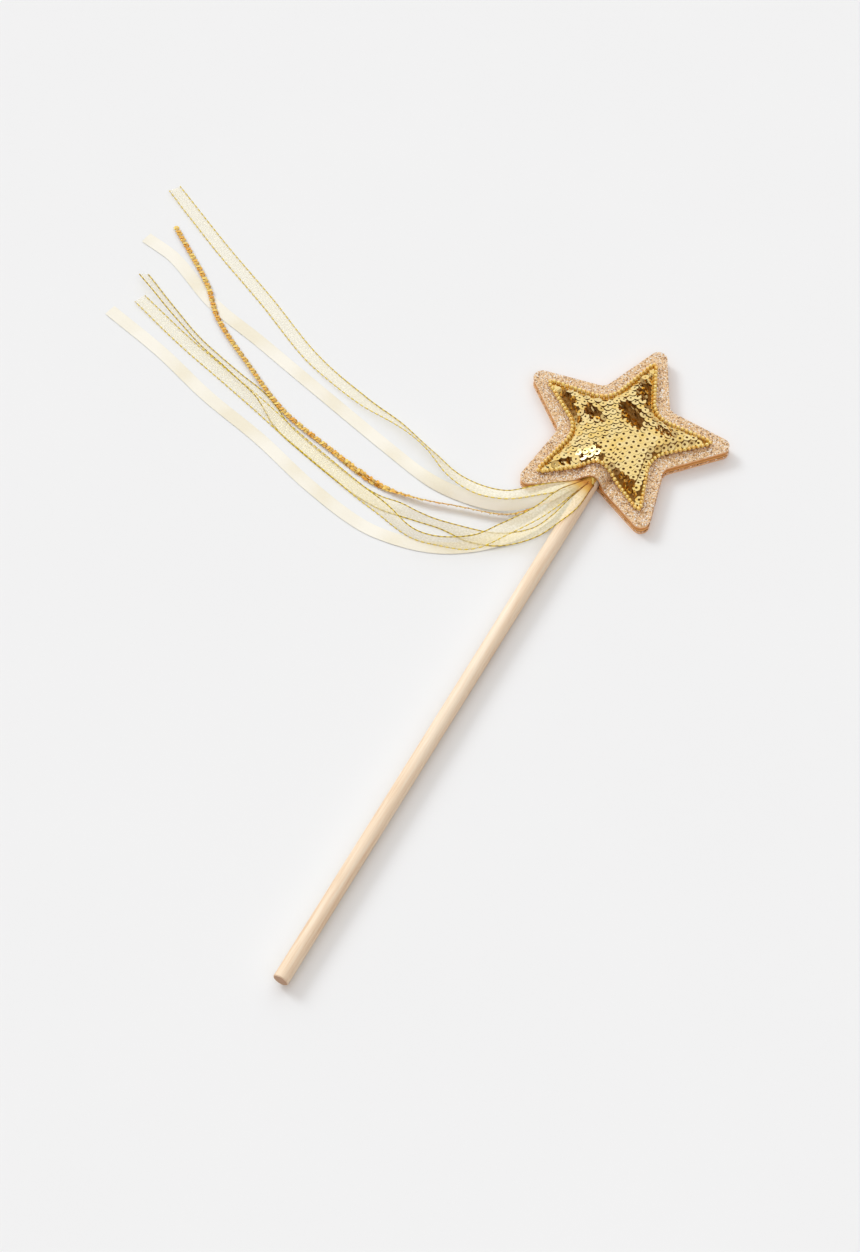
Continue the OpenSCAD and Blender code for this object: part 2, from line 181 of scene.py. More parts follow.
# Threads per metre of the woven pieces, and the length of a stitch in metres
ORGANZA_THREADS = 2600.0
SATIN_THREADS = 1900.0
NET_THREADS = 1700.0
STITCH_LENGTH = 0.0028

# Routes of the streamers from the mouth of the star outwards: x, y, z in millimetres and roll in degrees
UPPER_ORGANZA_ROUTE = [
    (-3.6, 274.5, 2.5, 25), (-10, 268, 2.6, 10), (-19, 261, 1.8, 15), (-30, 253, 0.9, 15), (-43, 250, 0, 15),
    (-57, 252, -0.6, 30), (-72, 259, -1.6, 55), (-91, 265, -2.3, 45), (-112, 269, -3.3, 20),
    (-144, 279, -4.2, 5), (-179, 297, -4.3, 0), (-212, 313, -4.3, 0), (-250, 333, -3.9, 10),
]
UPPER_SATIN_ROUTE = [
    (-4.3, 274.5, 1.65, 10), (-10, 266, 1.8, -5), (-18, 256.7, 0.6, -24), (-30, 248.7, -1.2, -28),
    (-44, 245.6, -2.4, -28), (-62, 245.6, -3.3, -14), (-81, 250, -4.3, 0), (-137, 266, -4.3, 0),
    (-171, 276, -4.3, 0), (-200, 284, -4.3, 0), (-229, 298, -4.3, 0), (-247, 302, -4.2, 0),
]
STRAND_ROUTE = [
    (-4.4, 274.5, 0.95, 30), (-10, 263, 0.4, 40), (-17, 254, -1.4, 50), (-27, 245, -3, 52),
    (-47, 239, -3.9, 54), (-66, 234, -3.9, 44), (-87, 233, -3.9, -8), (-112, 239, -3.9, 2),
    (-141, 247, -3.9, 14), (-167, 261, -3.8, 18), (-193, 277, -3.4, 10), (-208, 292, -3.2, 4),
    (-237, 313, -3.8, 8),
]
MIDDLE_ORGANZA_ROUTE = [
    (1, 274.5, 3.75, -9), (-1, 262, 4, 5), (-4, 252, 3.3, 20), (-10, 241, 1, 15), (-22, 232, -1.4, -10),
    (-34, 228, -1.9, -35), (-49, 226, -1.5, -85), (-60, 225, -1.5, -75), (-70, 225, -2.5, -40),
    (-80, 225, -4, -8), (-94, 227, -4.4, 0), (-130, 237, -4.4, 0), (-140, 241, -4.1, -6),
    (-147, 245.5, -3.6, 8), (-155, 249.5, -2.8, 26), (-170, 254, -2.3, 42), (-197, 263, -2.1, 47),
    (-236, 282, -2.2, 42),
]
LOWER_ORGANZA_ROUTE = [
    (-1.4, 274.5, 3.65, 12), (-7, 264, 3.9, -5), (-13, 250, 2.9, -5), (-22, 236, 1.9, -10),
    (-31, 224, 0.9, -30), (-45, 218, -0.9, -80), (-58, 216, -1, -75), (-77, 222, -2.6, -35),
    (-90, 225.5, -3.2, -12), (-133, 238, -3.5, -8), (-146, 242, -2.9, -25), (-158, 246, -3.2, -18),
    (-172, 250.5, -4, -4), (-200, 259, -4.2, 0), (-231, 270, -3.8, 8),
]
LOWER_SATIN_ROUTE = [
    (-4.5, 274.5, 0.3, 0), (-8, 264, -0.7, 0), (-10, 253, -2, 5), (-17, 240, -3.3, 5), (-29, 227, -4.2, 0),
    (-44, 217, -4.4, 0), (-61, 212, -4.4, 0), (-81, 211, -4.4, 0), (-111, 218, -4.4, 0),
    (-143, 229, -4.4, 0), (-176, 238, -4.4, 0), (-207, 249, -4.4, 0), (-240, 258, -4.3, 0),
]


def paint(red, green, blue):
    """A colour as a paint chart gives it, 0 to 255, made linear for a shader."""
    def straight(level):
        level /= 255
        return level / 12.92 if level <= 0.04045 else ((level + 0.055) / 1.055) ** 2.4
    return (straight(red), straight(green), straight(blue), 1)


def add(tree, kind, inputs=None, **settings):
    """A node in a tree: its settings, and its sockets either linked or given a plain value."""
    node = tree.nodes.new(kind)
    for name, value in settings.items():
        setattr(node, name, value)
    for name, value in (inputs or {}).items():
        if isinstance(value, bpy.types.NodeSocket):
            tree.links.new(value, node.inputs[name])
        else:
            node.inputs[name].default_value = value
    return node


def math_node(tree, operation, first, second=0.5):
    return add(tree, "ShaderNodeMath", {0: first, 1: second}, operation=operation).outputs[0]


def span(tree, value, low, high, to_low=0.0, to_high=1.0):
    """A value taken from one range to another, and held inside it."""
    return add(tree, "ShaderNodeMapRange", {
        "Value": value, "From Min": low, "From Max": high, "To Min": to_low, "To Max": to_high,
    }).outputs["Result"]


def ramp(tree, value, stops, stepped=False):
    """Colours along a value: a list of places and colours."""
    node = add(tree, "ShaderNodeValToRGB", {"Fac": value})
    if stepped:
        node.color_ramp.interpolation = "CONSTANT"
    elements = node.color_ramp.elements
    while len(elements) < len(stops):
        elements.new(0.5)
    for element, (place, colour) in zip(elements, stops):
        element.position = place
        element.color = colour
    return node.outputs["Color"]


def mix_colour(tree, share, first, second):
    """Two colours mixed; sockets 6 and 7 of the node are its colours."""
    return add(tree, "ShaderNodeMix", {0: share, 6: first, 7: second}, data_type="RGBA").outputs[2]


def finish_of(name, **plain):
    """A new material, its tree and its shader, with the values that are the same all over."""
    material = bpy.data.materials.new(name)
    material.use_nodes = True
    tree = material.node_tree
    shader = tree.nodes["Principled BSDF"]
    for socket, value in plain.items():
        shader.inputs[socket.replace("_", " ")].default_value = value
    return material, tree, shader


# Camera, table and light


def photo_camera():
    data = bpy.data.cameras.new("photo_camera")
    data.sensor_width = 36
    data.lens = 95.93
    data.clip_start = 0.05
    data.clip_end = 100
    camera = bpy.data.objects.new("photo_camera", data)
    camera.location = (0.3302, -0.4765, 1.2410)
    camera.rotation_euler = (math.radians(30.985), 0, math.radians(28.678))
    scene.collection.objects.link(camera)
    scene.camera = camera


def pale_table():
    mesh = bpy.data.meshes.new("pale_table")
    bm = bmesh.new()
    bmesh.ops.create_grid(
        bm, x_segments=1, y_segments=1, size=12, matrix=Matrix.Translation((0, 0, TABLE_Z)),
    )
    bm.to_mesh(mesh)
    bm.free()
    table = bpy.data.objects.new("pale_table", mesh)
    scene.collection.objects.link(table)
    material, tree, shader = finish_of("table_paper", Roughness=0.9, Specular_IOR_Level=0.1)
    place = add(tree, "ShaderNodeTexCoord").outputs["Object"]
    mottle = add(tree, "ShaderNodeTexNoise", {"Vector": place, "Scale": 9.0, "Detail": 3.0}).outputs["Fac"]
    colour = ramp(tree, mottle, [(0.3, (0.812, 0.821, 0.824, 1)), (0.7, (0.818, 0.827, 0.83, 1))])
    tree.links.new(colour, shader.inputs["Base Color"])
    mesh.materials.append(material)


def sun(name, towards, strength, softness, colour=(1, 1, 1), glossy=True):
    """A soft lamp far away. towards points from the wand to the lamp; softness is its angle in degrees."""
    data = bpy.data.lights.new(name, "SUN")
    data.energy = strength
    data.color = colour
    data.angle = math.radians(softness)
    lamp = bpy.data.objects.new(name, data)
    lamp.rotation_mode = "QUATERNION"
    lamp.rotation_quaternion = Vector(towards).to_track_quat("Z", "Y")
    lamp.visible_glossy = glossy
    scene.collection.objects.link(lamp)


def studio_light():
    """White panels behind on the left and overhead in a dim warm room, soft lamps and one small lamp."""
    world = bpy.data.worlds.new("studio")
    scene.world = world
    world.use_nodes = True
    tree = world.node_tree
    direction = add(tree, "ShaderNodeTexCoord").outputs["Generated"]
    dim_room = (0.19, 0.09, 0.03, 1)
    white_panel = (0.95, 0.95, 0.95, 1)
    shares = []
    for panel, inner, outer in (((-0.5, 0.65, 0.57), 32, 52), ((0.35, -0.24, 0.9), 22, 40)):
        facing = add(tree, "ShaderNodeVectorMath", {
            0: direction, 1: tuple(Vector(panel).normalized()),
        }, operation="DOT_PRODUCT").outputs["Value"]
        shares.append(span(tree, facing, math.cos(math.radians(outer)), math.cos(math.radians(inner))))
    colour = mix_colour(tree, math_node(tree, "MAXIMUM", *shares), dim_room, white_panel)
    tree.links.new(colour, tree.nodes["Background"].inputs["Color"])
    cool = (0.9, 0.96, 1)
    sun("key_lamp", (-0.8, 0.22, 0.56), 1.2, 20, cool, glossy=False)
    sun("fill_lamp", (-0.1, 0, 0.95), 1.1, 130, cool, glossy=False)
    sun("spark_lamp", (-0.69, 0.29, 0.66), 0.05, 6, (0.5, 0.62, 1))


# Meshes


def sheet_of(bm, rows, layer=None, uvs=None, around=False, material=0):
    """A skin through rows of points, from a flat grid. Around closes each row on itself."""
    known = set(bm.verts)
    wide = len(rows[0]) - (0 if around else 1)
    made = bmesh.ops.create_grid(bm, x_segments=wide, y_segments=len(rows) - 1, size=0.5)["verts"]
    made.sort(key=lambda v: (round(v.co.y * 1e5), round(v.co.x * 1e5)))
    faces = {face for v in made for face in v.link_faces}
    place = {}
    for k, v in enumerate(made):
        i, j = divmod(k, wide + 1)
        v.co = rows[i][j % len(rows[i])]
        place[v] = (i, j)
    for face in faces:
        face.material_index = material
        face.smooth = True
        if layer:
            for loop in face.loops:
                loop[layer].uv = uvs(*place[loop.vert])
    if around:
        bmesh.ops.remove_doubles(bm, verts=[v for v in bm.verts if v not in known], dist=1e-7)


def ring(centre, across, up, radius, sides):
    """Points round one section of a thread; the centre is in metres and the radius in millimetres."""
    turns = [k * math.tau / sides for k in range(sides)]
    return [centre + (across * math.cos(turn) + up * math.sin(turn)) * radius * MM for turn in turns]


def piece(name, bm, slot, *materials):
    """A finished mesh as an object that rides on the wand."""
    mesh = bpy.data.meshes.new(name)
    bm.to_mesh(mesh)
    bm.free()
    for material in materials:
        mesh.materials.append(material)
    obj = bpy.data.objects.new(name, mesh)
    scene.collection.objects.link(obj)
    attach(obj, "root")
    return obj


# Streamers


def smooth_route(route, step):
    """Points on one smooth curve through a route, about a step apart, with their roll."""
    marks = [Vector(p) for p in route]
    times = [0]
    for a, b in zip(marks, marks[1:]):
        times.append(times[-1] + (b - a).to_3d().length)
    last = len(marks) - 1
    slopes = []
    for i in range(len(marks)):
        a, b = max(i - 1, 0), min(i + 1, last)
        slopes.append((marks[b] - marks[a]) / (times[b] - times[a]))
    samples = []
    for i in range(last):
        gap = times[i + 1] - times[i]
        count = max(2, round(gap / step))
        for k in range(count + (i == last - 1)):
            t = k / count
            samples.append(
                marks[i] * (2 * t ** 3 - 3 * t ** 2 + 1) + slopes[i] * gap * (t ** 3 - 2 * t ** 2 + t)
                + marks[i + 1] * (3 * t ** 2 - 2 * t ** 3) + slopes[i + 1] * gap * (t ** 3 - t ** 2)
            )
    return samples


def ribbon_frames(samples):
    """Centre, side and face direction of a strip at each sample, and its distance from the start."""
    frames = []
    run = 0
    last = len(samples) - 1
    for i, sample in enumerate(samples):
        along = samples[min(i + 1, last)] - samples[max(i - 1, 0)]
        heading = math.atan2(along.y, along.x)
        left = Vector((-math.sin(heading), math.cos(heading), 0))
        roll = math.radians(sample.w)
        side = left * math.cos(roll) + UP * math.sin(roll)
        face = UP * math.cos(roll) - left * math.sin(roll)
        if i:
            run += (sample - samples[i - 1]).to_3d().length
        frames.append((sample.to_3d(), side, face, run))
    return frames


def smooth_step(value, low, high):
    share = min(1, max(0, (value - low) / (high - low)))
    return share * share * (3 - 2 * share)


def gather(run):
    """The share of a ribbon's width that shows at a distance from its gathered end."""
    return GATHERED_SHARE + (1 - GATHERED_SHARE) * smooth_step(run, 0, GATHER_LENGTH)


def ribbon(name, route, slot, node, cloth, edging=None, ripple=0.0):
    """A woven ribbon along its route, with a thread down each edge where it has edging."""
    frames = ribbon_frames(smooth_route(route, RIBBON_STEP))
    lowest = TABLE_Z + EDGE_THREAD_STAND * EDGE_THREAD_RADIUS * MM
    phase = chance.random() * RIPPLE_PHASES
    rows = []
    for centre, side, face, run in frames:
        row = []
        for j in range(RIBBON_COLUMNS + 1):
            across = j / RIBBON_COLUMNS - 0.5
            wave = ripple * math.sin(run / RIPPLE_SHORT + phase + across * RIPPLE_SKEW)
            wave *= math.sin(run / RIPPLE_LONG + phase)
            lift = RIBBON_CAMBER * (0.5 - 4 * across * across) + wave * (RIPPLE_MIDDLE_SHARE + abs(across))
            point = (centre + side * RIBBON_WIDTH * gather(run) * across + face * lift) * MM
            point.z = max(point.z, lowest)
            row.append(point)
        rows.append(row)
    bm = bmesh.new()
    layer = bm.loops.layers.uv.new("weave")
    sheet_of(bm, rows, layer, lambda i, j: (
        frames[i][3] * MM, (j / RIBBON_COLUMNS - 0.5) * RIBBON_WIDTH * MM,
    ))
    if edging:
        for j in (0, RIBBON_COLUMNS):
            tube = [
                ring(row[j], side, face, EDGE_THREAD_RADIUS, EDGE_THREAD_SIDES)
                for row, (_, side, face, _) in zip(rows, frames)
            ]
            sheet_of(bm, tube, layer, lambda i, k: (
                frames[i][3] * MM, k / EDGE_THREAD_SIDES + 2 * j,
            ), around=True, material=1)
    obj = piece(name, bm, slot, *filter(None, [cloth, edging]))
    obj.visible_shadow = not edging
    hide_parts(node)


def small_disc(radius, hole, cup, segments):
    """A thin round plate with a hole, its rim bent down a little, as a mesh to be laid out many times."""
    bm = bmesh.new()
    bmesh.ops.create_circle(bm, cap_ends=False, segments=segments, radius=hole)
    rim = list(bm.edges)
    for size, drop in ((0.5 * (radius + hole), 0.3 * cup), (radius, cup)):
        grown = bmesh.ops.extrude_edge_only(bm, edges=rim)["geom"]
        rim = [g for g in grown if isinstance(g, bmesh.types.BMEdge) and all(v in grown for v in g.verts)]
        for v in {v for e in rim for v in e.verts}:
            v.co = Vector((v.co.x, v.co.y, 0)).normalized() * size - Vector((0, 0, drop))
        rim = [e for e in rim if len(e.link_faces) == 1]
    bmesh.ops.recalc_face_normals(bm, faces=bm.faces)
    if sum(face.normal.z for face in bm.faces) < 0:
        bmesh.ops.reverse_faces(bm, faces=bm.faces)
    for face in bm.faces:
        face.smooth = True
    mesh = bpy.data.meshes.new("disc")
    bm.to_mesh(mesh)
    bm.free()
    return mesh


def lay_out(bm, shape, places, tone):
    """Copies of a small shape at each place, each with its own tone between 0 and 1."""
    for place in places:
        start = len(bm.verts)
        bm.from_mesh(shape)
        bm.verts.ensure_lookup_table()
        fresh = bm.verts[start:]
        bmesh.ops.transform(bm, matrix=place, verts=fresh)
        level = chance.random()
        for v in fresh:
            v[tone] = level


def turned_frame(side, face, at):
    """A place whose x axis runs along side and whose z axis runs along face."""
    y = face.cross(side)
    return Matrix((
        (side.x, y.x, face.x, at.x), (side.y, y.y, face.y, at.y), (side.z, y.z, face.z, at.z), (0, 0, 0, 1),
    ))


def sequin_strand(foil, thread):
    """A flat trim of small sequins on a thread, each lying on the next, which turns on edge in places."""
    radius = STRAND_WIDTH / 2
    samples = smooth_route(STRAND_ROUTE, STRAND_STEP)
    for sample in samples:
        stand = radius * abs(math.sin(math.radians(sample.w))) + STRAND_STAND
        sample.z = max(sample.z, TABLE_Z / MM + stand)
    frames = ribbon_frames(samples)
    places = []
    for i, (centre, side, face, run) in enumerate(frames):
        along = side.cross(face)
        open_share = math.exp(-((run - LOOSE_AT) / LOOSE_REACH) ** 2)
        stray = STRAND_STRAY + LOOSE_STRAY * open_share
        lean = STRAND_LEANS[i % 2] + chance.uniform(-1, 1) * stray * STRAND_STRAY_LENGTHWISE
        up = (face + along * lean + side * chance.uniform(-1, 1) * stray).normalized()
        level = (side - up * side.dot(up)).normalized()
        place = turned_frame(level, up, (centre + face * STRAND_DISC_LIFT) * MM)
        places.append(place @ Matrix.Scale(1 + LOOSE_GROWTH * open_share, 4))
    disc = small_disc(
        STRAND_DISC_SHARE * radius * MM, STRAND_DISC_HOLE_RADIUS * MM, STRAND_DISC_CUP * MM,
        STRAND_DISC_SEGMENTS,
    )
    bm = bmesh.new()
    lay_out(bm, disc, places, bm.verts.layers.float.new("tone"))
    sheet_of(bm, [
        ring(centre * MM, side, face, STRAND_THREAD_RADIUS, STRAND_THREAD_SIDES)
        for centre, side, face, _ in frames
    ], around=True, material=1)
    obj = piece("gold_sequin_strand", bm, "strand_gold", foil, thread)
    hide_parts("sequin_strand")


def gathered_ends(cloth, foil):
    """The pleated ends of the streamers, glued round the stick in the mouth, with one end of foil."""
    rows = []
    for k in range(MOUTH_ROWS):
        row = []
        for j in range(MOUTH_FOLDS + 1):
            x = MOUTH_LEFT + MOUTH_WIDTH * j / MOUTH_FOLDS
            y = MOUTH_START + MOUTH_ROW_STEP * k + FOLD_SWAY * math.sin(j * FOLD_SWAY_TURN)
            arch = ARCH_CROWN - (ARCH_RADIUS - math.sqrt(ARCH_RADIUS ** 2 - x * x))
            floor = FOLD_REST_HEIGHT
            if abs(x) < GLUE_RADIUS:
                floor = max(FOLD_LEAST_HEIGHT, math.sqrt(GLUE_RADIUS ** 2 - x * x))
            share = 0.5 + FOLD_FILL * (1 if j % 2 else -1)
            row.append(Vector((x, y, floor + (arch - floor) * share)) * MM)
        rows.append(row)
    bm = bmesh.new()
    layer = bm.loops.layers.uv.new("weave")
    sheet_of(bm, rows, layer, lambda i, j: (i * MOUTH_ROW_STEP * MM, j * FOLD_CLOTH * MM))
    foil_centres = [(FOIL_END_START + FOIL_END_STEP * k) * MM for k in range(FOIL_END_STEPS)]
    sheet_of(bm, [
        ring(centre, Vector((1, 0, 0)), UP, FOIL_END_RADIUS, FOIL_END_SIDES) for centre in foil_centres
    ], around=True, material=1)
    obj = piece("gathered_ends", bm, "organza", cloth, foil)
    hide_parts("ribbon_bundle")


# The star's patch


def star_outline(tip, valley, tip_rounding, valley_rounding, steps=10):
    """A star with round tips and valleys, anticlockwise, in its own plane."""
    def towards(angle):
        return Vector((math.cos(angle), math.sin(angle)))
    step = math.tau / STAR_POINTS
    tip_centre = Vector((tip - tip_rounding, 0))
    valley_centre = (valley + valley_rounding) * towards(step / 2)
    across = valley_centre - tip_centre
    normal = math.atan2(across.y, across.x) - math.acos((tip_rounding + valley_rounding) / across.length)
    arm = [tip_centre + tip_rounding * towards(normal * (2 * k / steps - 1)) for k in range(steps + 1)]
    arm += [
        valley_centre + valley_rounding * towards(normal + math.pi - (2 * normal - step) * k / steps)
        for k in range(steps + 1)
    ]
    return [Matrix.Rotation(math.pi / 2 + step * i, 2) @ p for i in range(STAR_POINTS) for p in arm]


def spaced(outline, count):
    """Evenly spaced points along a closed outline, and its length."""
    loop = outline + outline[:1]
    lengths = [0]
    for a, b in zip(loop, loop[1:]):
        lengths.append(lengths[-1] + (b - a).length)
    points = []
    k = 0
    for i in range(count):
        target = lengths[-1] * i / count
        while lengths[k + 1] < target:
            k += 1
        share = (target - lengths[k]) / (lengths[k + 1] - lengths[k])
        points.append(loop[k].lerp(loop[k + 1], share))
    return points, lengths[-1]


patch_edge = star_outline(PATCH_TIP, PATCH_VALLEY, PATCH_TIP_ROUNDING, PATCH_VALLEY_ROUNDING)
seam, patch_length = spaced(patch_edge, SEAM_POINTS)
seam_pull = patch_length / SEAM_POINTS / (PATCH_SHOULDER * math.sqrt(math.tau))


def on_wand(p, z):
    """A point of the star's plane in the wand's frame."""
    w = STAR_PLACE + Matrix.Rotation(STAR_TURN, 2) @ p
    return Vector((w.x, w.y, z))


def cloth_rise(p):
    """How far the sequin cloth stands over the flat sheet: a padded crown, and a ridge over the stick."""
    held = sum(math.exp(-(p - q).length_squared / (2 * PATCH_SHOULDER ** 2)) for q in seam)
    crown = PATCH_CROWN * max(0, 1 - seam_pull * held)
    w = on_wand(p, 0)
    fade = 1 + math.exp((w.y - RIDGE_END) / RIDGE_FADE)
    ridge = RIDGE_HEIGHT * math.exp(-(w.x / RIDGE_SPREAD) ** 2) / fade
    return math.hypot(crown, ridge)


def inside_patch(p):
    """True where a point of the star's plane is in the patch, and its distance from the patch's edge."""
    crossings = 0
    nearest = math.inf
    for a, b in zip(patch_edge, patch_edge[1:] + patch_edge[:1]):
        if (a.y > p.y) != (b.y > p.y) and p.x < a.x + (b.x - a.x) * (p.y - a.y) / (b.y - a.y):
            crossings += 1
        share = min(1, max(0, (p - a).dot(b - a) / (b - a).length_squared))
        nearest = min(nearest, (p - a - share * (b - a)).length)
    return crossings % 2 == 1, nearest


def padded_patch(cloth):
    """The padded star under the sequins: one crowned skin that comes down to its seam under the beads."""
    rim = spaced(patch_edge, PATCH_RIM_POINTS)[0]
    rows = [
        [on_wand(p * share, FRONT_TOP + CLOTH_THICKNESS + cloth_rise(p * share)) * MM for p in rim]
        for share in CROWN_RINGS
    ]
    rows += [[on_wand(p * share, FRONT_TOP + PATCH_BASE_GAP) * MM for p in rim] for share in BASE_RINGS]
    outwards = CROWN_RINGS + [1] * len(BASE_RINGS)
    bm = bmesh.new()
    layer = bm.loops.layers.uv.new("weave")
    sheet_of(bm, rows, layer, lambda i, j: (j / len(rim), outwards[i]), around=True)
    bmesh.ops.holes_fill(bm, edges=[e for e in bm.edges if e.is_boundary], sides=0)
    bmesh.ops.recalc_face_normals(bm, faces=bm.faces)
    obj = piece("padded_patch", bm, "gold_cloth", cloth)
    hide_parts("sequin_cloth", "sequin_pad")


def local(p, x, y, length, width, direction):
    """A point's place in an oblong, as shares of its half length and half width."""
    offset = Matrix.Rotation(-math.radians(direction), 2) @ (p - Vector((x, y)))
    return Vector((offset.x / length, offset.y / width))


def pucker(p):
    """How far a point is in a pucker: 1 or -1 in its middle, by the way that the sequins lean, 0 outside."""
    share, way = max((math.exp(-local(p, *place).length_squared ** 2), way) for *place, way in PUCKERS)
    return share * way


def flushness(p):
    """How flush the sequins lie: 1 over the lower right of the star, 0 where they stand like scales."""
    return smooth_step((p.x - p.y) / math.sqrt(2), *FLUSH_DIAGONAL) * smooth_step(p.x, *FLUSH_LEFT)


def facing(slope):
    """The turn of a flat plate that takes it to a slope."""
    return UP.rotation_difference(slope.normalized()).to_matrix().to_4x4()


def hem_sequin(p, inward):
    """The place of a sequin in the row along the seam, lying on the cloth's shoulder."""
    fall = (cloth_rise(p + inward) - cloth_rise(p - inward)) / 2
    turn = facing(Vector((-inward.x * fall, -inward.y * fall, HEM_FLATTENING)))
    centre = on_wand(p, FRONT_TOP + CLOTH_THICKNESS + cloth_rise(p) + SEQUIN_LIFT / 2)
    return Matrix.Translation(centre * MM) @ Matrix.Rotation(STAR_TURN, 4, "Z") @ turn


def field_sequin(p, flush, along, up):
    """The place of a sequin in the rows: it follows the cloth, leans on its row and stands up in a pucker."""
    radius = SEQUIN_DIAMETER / 2
    east, west, north, south = [
        cloth_rise(p + radius * Vector(d)) for d in ((1, 0), (-1, 0), (0, 1), (0, -1))
    ]
    slope = Vector((west - east, south - north)) / SEQUIN_DIAMETER * (SLOPE_SHARE - FLUSH_SLOPE_LOSS * flush)
    if slope.x > 0:
        slope.x *= 1 - FLUSH_RIGHT_LOSS * flush
    fold = pucker(p)
    upright = fold * chance.uniform(*PUCKER_LEAN)
    lean = SEQUIN_TILT * (1 - FLUSH_TILT_LOSS * flush)
    loose = math.radians(SEQUIN_LOOSE_DEGREES - FLUSH_LOOSE_LOSS_DEGREES * flush) + abs(fold) * PUCKER_LOOSE
    seat = max(cloth_rise(p), (east + west + north + south) / 4)
    if max(map(abs, local(p, *BRIGHT_PLACE))) < 1:
        slope = Vector(BRIGHT_SLOPE)
        lean = BRIGHT_TILT
        loose = upright = 0
        middle = Vector(BRIGHT_PLACE[:2])
        level = cloth_rise(middle) + BRIGHT_LIFT - slope.dot(p - middle)
        seat = max(cloth_rise(p) + BRIGHT_LEAST_LIFT, level)
    lean_turn = Matrix.Rotation(-lean + chance.gauss(0, 1) * loose, 4, along.to_3d())
    upright_turn = Matrix.Rotation(upright + chance.gauss(0, 1) * loose, 4, up.to_3d())
    lift = SEQUIN_LIFT + PUCKER_LIFT_SHARE * radius * math.sin(abs(upright))
    centre = on_wand(p, FRONT_TOP + CLOTH_THICKNESS + seat + lift)
    turn = facing(Vector((slope.x, slope.y, 1))) @ lean_turn @ upright_turn
    return Matrix.Translation(centre * MM) @ Matrix.Rotation(STAR_TURN, 4, "Z") @ turn


def sequin_field(foil):
    """Rows of sequins over the crown, each lying over the next like roof tiles, flush at the lower right."""
    along = Vector((math.cos(SEQUIN_ROW_TURN), math.sin(SEQUIN_ROW_TURN)))
    up = Vector((-along.y, along.x))
    reach = math.ceil(PATCH_TIP / SEQUIN_ROW_PITCH)
    places, flush_places = [], []
    hem = spaced(patch_edge, round(patch_length / SEQUIN_ROW_PITCH))[0]
    for before, p, after in zip(hem[-1:] + hem, hem, hem[1:] + hem[:1]):
        inward = Vector((before.y - after.y, after.x - before.x)).normalized()
        p = p + inward * SEQUIN_HEM_MARGIN
        if inside_patch(p)[0] and flushness(p) <= HEM_FLUSH_LIMIT:
            places.append(hem_sequin(p, inward))
    for j in range(-reach, reach + 1):
        for i in range(-reach, reach + 1):
            p = (i + abs(j) % 2 / 2) * SEQUIN_PITCH * along + j * SEQUIN_ROW_PITCH * up
            within, room = inside_patch(p)
            flush = flushness(p)
            if within and room >= SEQUIN_MARGIN + (SEQUIN_FLUSH_MARGIN - SEQUIN_MARGIN) * flush:
                kind = flush_places if flush > FLUSH_LIMIT else places
                kind.append(field_sequin(p, flush, along, up))
    bm = bmesh.new()
    tone = bm.verts.layers.float.new("tone")
    for hole, spots in ((SEQUIN_HOLE, places), (SEQUIN_FLUSH_HOLE, flush_places)):
        disc = small_disc(SEQUIN_DIAMETER / 2 * MM, hole / 2 * MM, SEQUIN_CUP * MM, SEQUIN_SEGMENTS)
        lay_out(bm, disc, spots, tone)
    obj = piece("sequin_field", bm, "gold_foil", foil)
    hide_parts("sequins")


# Finishes


def shared_group(name, inputs, outputs):
    """An empty node group with named sockets, and its input and output nodes."""
    group = bpy.data.node_groups.new(name, "ShaderNodeTree")
    for socket, kind, value in inputs:
        made = group.interface.new_socket(socket, in_out="INPUT", socket_type=kind)
        if value is not None:
            made.default_value = value
    for socket, kind in outputs:
        group.interface.new_socket(socket, in_out="OUTPUT", socket_type=kind)
    return group, group.nodes.new("NodeGroupInput"), group.nodes.new("NodeGroupOutput")


def weave_group():
    """Crossed threads from a place on the cloth: how solid the cloth is there, and its height."""
    group, given, put = shared_group(
        "thread_weave",
        [("Place", "NodeSocketVector", None), ("Threads per metre", "NodeSocketFloat", 3000.0)],
        [("Cover", "NodeSocketFloat"), ("Height", "NodeSocketFloat")],
    )
    parts = add(group, "ShaderNodeSeparateXYZ", {0: given.outputs["Place"]})
    waves = []
    for axis in ("X", "Y"):
        turns = math_node(group, "MULTIPLY", parts.outputs[axis], given.outputs["Threads per metre"])
        waves.append(math_node(group, "SINE", math_node(group, "MULTIPLY", turns, math.tau)))
    high = math_node(group, "MAXIMUM", *waves)
    slub = add(group, "ShaderNodeTexNoise", {
        "Vector": given.outputs["Place"], "Scale": 900.0, "Detail": 2.0,
    }).outputs["Fac"]
    threads = span(group, high, -1.0, 1.0, 0.0, 0.55)
    cover = math_node(group, "ADD", threads, span(group, slub, 0.3, 0.7, 0.0, 0.45))
    group.links.new(cover, put.inputs["Cover"])
    group.links.new(high, put.inputs["Height"])
    return group


def foil_group():
    """Small changes of colour and gloss from plate to plate on metallised foil."""
    group, given, put = shared_group(
        "foil_tone",
        [("Tone", "NodeSocketFloat", 0.5), ("Place", "NodeSocketVector", None),
         ("Pale", "NodeSocketColor", None), ("Deep", "NodeSocketColor", None)],
        [("Color", "NodeSocketColor"), ("Roughness", "NodeSocketFloat")],
    )
    scuffs = add(group, "ShaderNodeTexNoise", {
        "Vector": given.outputs["Place"], "Scale": 1400.0, "Detail": 3.0,
    }).outputs["Fac"]
    tone = math_node(group, "MULTIPLY", given.outputs["Tone"], 0.7)
    share = math_node(group, "ADD", tone, span(group, scuffs, 0.35, 0.7, 0.0, 0.3))
    mixed = mix_colour(group, share, given.outputs["Pale"], given.outputs["Deep"])
    group.links.new(mixed, put.inputs["Color"])
    group.links.new(span(group, scuffs, 0.3, 0.75, 0.1, 0.24), put.inputs["Roughness"])
    return group


weave = weave_group()
foil_tone = foil_group()


def place_of(tree):
    return add(tree, "ShaderNodeTexCoord").outputs["Object"]


